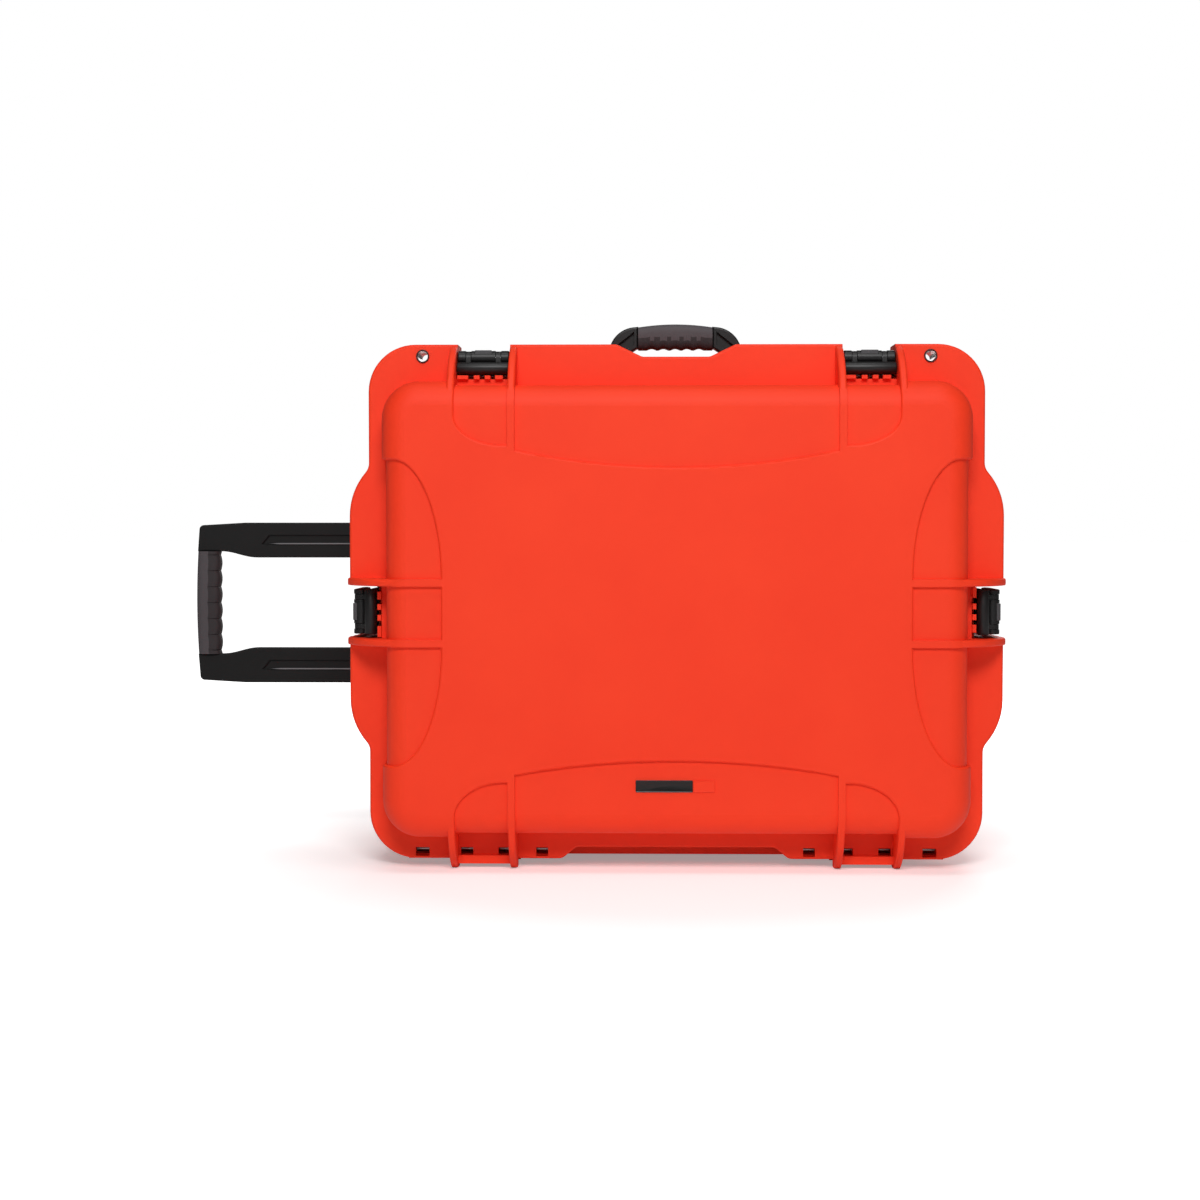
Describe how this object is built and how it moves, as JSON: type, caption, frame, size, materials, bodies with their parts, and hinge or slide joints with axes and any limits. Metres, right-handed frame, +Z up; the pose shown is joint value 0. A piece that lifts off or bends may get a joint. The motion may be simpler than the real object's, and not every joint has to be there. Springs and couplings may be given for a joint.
{
  "type": "equipment case",
  "caption": "Wheeled hard protective equipment case standing on its hinged side, with a hinged lid, draw latches, folding carry handles and a telescopic pull handle.",
  "frame": {"origin": "on the floor under the middle of the case, on the parting plane between lid and base", "axes": "+X along the case toward the wheel end, +Y from the lid toward the base, +Z up"},
  "size_m": [0.8527, 0.378, 0.5355],
  "materials": {
    "shell": "fine moulded satin, orange red",
    "black_plastic": "satin",
    "handle_arms": "ribbed, satin",
    "slide_lock": "satin",
    "soft_grip": "soft touch, warm grey",
    "seal": "matt",
    "steel": "turned stainless",
    "tyre": "matt polyurethane",
    "badge": "gloss, blank"
  },
  "bodies": {
    "case_base": {"base_shell": "shell", "hinge_pins": "steel", "base_sleeves": "steel", "valve_body": "black_plastic", "valve_cap": "black_plastic", "latch_pivot_pins": "steel", "top_handle_pins": "steel", "side_handle_pins": "steel", "trolley_housing": "handle_arms", "guide_screws": "steel", "wheel_axles": "steel"},
    "lid": {"lid_shell": "shell", "lid_gasket": "seal", "lid_sleeves": "steel", "name_badge": "badge"},
    "top_handle": {"top_handle_frame": "black_plastic", "top_handle_grip": "soft_grip"},
    "side_handle": {"side_handle_frame": "black_plastic", "side_handle_grip": "soft_grip"},
    "mid_stage": {"mid_stage": "handle_arms"},
    "pull_handle": {"pull_handle": "handle_arms", "pull_grip": "soft_grip"},
    "wheel_lower": {"wheel_tyre_lower": "tyre", "wheel_hub_lower": "black_plastic", "wheel_bearings_lower": "steel"},
    "wheel_upper": {"wheel_tyre_upper": "tyre", "wheel_hub_upper": "black_plastic", "wheel_bearings_upper": "steel"},
    "claw_top_left": {"latch_claw_top_left": "black_plastic", "claw_pin_top_left": "steel"},
    "lever_top_left": {"latch_lever_top_left": "black_plastic"},
    "lock_top_left": {"latch_lock_top_left": "slide_lock"},
    "claw_top_right": {"latch_claw_top_right": "black_plastic", "claw_pin_top_right": "steel"},
    "lever_top_right": {"latch_lever_top_right": "black_plastic"},
    "lock_top_right": {"latch_lock_top_right": "slide_lock"},
    "claw_left": {"latch_claw_left": "black_plastic", "claw_pin_left": "steel"},
    "lever_left": {"latch_lever_left": "black_plastic"},
    "lock_left": {"latch_lock_left": "slide_lock"},
    "claw_right": {"latch_claw_right": "black_plastic", "claw_pin_right": "steel"},
    "lever_right": {"latch_lever_right": "black_plastic"},
    "lock_right": {"latch_lock_right": "slide_lock"}
  },
  "joints": [
    {"name": "lid_hinge", "type": "hinge", "parent": "case_base", "child": "lid", "pos_m": [0, 0, 0.0147], "axis": [1, 0, 0], "range_deg": [0, 105]},
    {"name": "top_handle_pivot", "type": "hinge", "parent": "case_base", "child": "top_handle", "pos_m": [0, 0.042, 0.493], "axis": [1, 0, 0], "range_deg": [-90, 0]},
    {"name": "side_handle_pivot", "type": "hinge", "parent": "case_base", "child": "side_handle", "pos_m": [0.3, 0.082, 0.251], "axis": [0, 0, 1], "range_deg": [-90, 0]},
    {"name": "mid_stage_slide", "type": "slide", "parent": "case_base", "child": "mid_stage", "axis": [-1, 0, 0], "range_m": [0, 0.22]},
    {"name": "pull_handle_slide", "type": "slide", "parent": "mid_stage", "child": "pull_handle", "axis": [-1, 0, 0], "range_m": [-0.238, 0]},
    {"name": "wheel_lower_spin", "type": "hinge", "parent": "case_base", "child": "wheel_lower", "pos_m": [0.249, 0.261, 0.086], "axis": [0, 0, 1], "continuous": true},
    {"name": "wheel_upper_spin", "type": "hinge", "parent": "case_base", "child": "wheel_upper", "pos_m": [0.249, 0.261, 0.416], "axis": [0, 0, 1], "continuous": true},
    {"name": "claw_top_left_pivot", "type": "hinge", "parent": "case_base", "child": "claw_top_left", "pos_m": [-0.187, 0.022, 0.4855], "axis": [-1, 0, 0], "range_deg": [0, 25]},
    {"name": "lever_top_left_pivot", "type": "hinge", "parent": "claw_top_left", "child": "lever_top_left", "pos_m": [-0.187, -0.024, 0.4975], "axis": [1, 0, 0], "range_deg": [0, 100]},
    {"name": "lock_top_left_slide", "type": "slide", "parent": "lever_top_left", "child": "lock_top_left", "axis": [0, 1, 0], "range_m": [0, 0.006]},
    {"name": "claw_top_right_pivot", "type": "hinge", "parent": "case_base", "child": "claw_top_right", "pos_m": [0.187, 0.022, 0.4855], "axis": [-1, 0, 0], "range_deg": [0, 25]},
    {"name": "lever_top_right_pivot", "type": "hinge", "parent": "claw_top_right", "child": "lever_top_right", "pos_m": [0.187, -0.024, 0.4975], "axis": [1, 0, 0], "range_deg": [0, 100]},
    {"name": "lock_top_right_slide", "type": "slide", "parent": "lever_top_right", "child": "lock_top_right", "axis": [0, 1, 0], "range_m": [0, 0.006]},
    {"name": "claw_left_pivot", "type": "hinge", "parent": "case_base", "child": "claw_left", "pos_m": [-0.2955, 0.022, 0.251], "axis": [0, 0, -1], "range_deg": [0, 25]},
    {"name": "lever_left_pivot", "type": "hinge", "parent": "claw_left", "child": "lever_left", "pos_m": [-0.3075, -0.024, 0.251], "axis": [0, 0, 1], "range_deg": [0, 100]},
    {"name": "lock_left_slide", "type": "slide", "parent": "lever_left", "child": "lock_left", "axis": [0, 1, 0], "range_m": [0, 0.006]},
    {"name": "claw_right_pivot", "type": "hinge", "parent": "case_base", "child": "claw_right", "pos_m": [0.2955, 0.022, 0.251], "axis": [0, 0, 1], "range_deg": [0, 25]},
    {"name": "lever_right_pivot", "type": "hinge", "parent": "claw_right", "child": "lever_right", "pos_m": [0.3075, -0.024, 0.251], "axis": [0, 0, -1], "range_deg": [0, 100]},
    {"name": "lock_right_slide", "type": "slide", "parent": "lever_right", "child": "lock_right", "axis": [0, 1, 0], "range_m": [0, 0.006]}
  ],
  "couplings": [
    {"joint": "claw_top_left_pivot", "follows": "lever_top_left_pivot", "ratio": 0.25},
    {"joint": "claw_top_right_pivot", "follows": "lever_top_right_pivot", "ratio": 0.25},
    {"joint": "claw_left_pivot", "follows": "lever_left_pivot", "ratio": 0.25},
    {"joint": "claw_right_pivot", "follows": "lever_right_pivot", "ratio": 0.25}
  ]
}
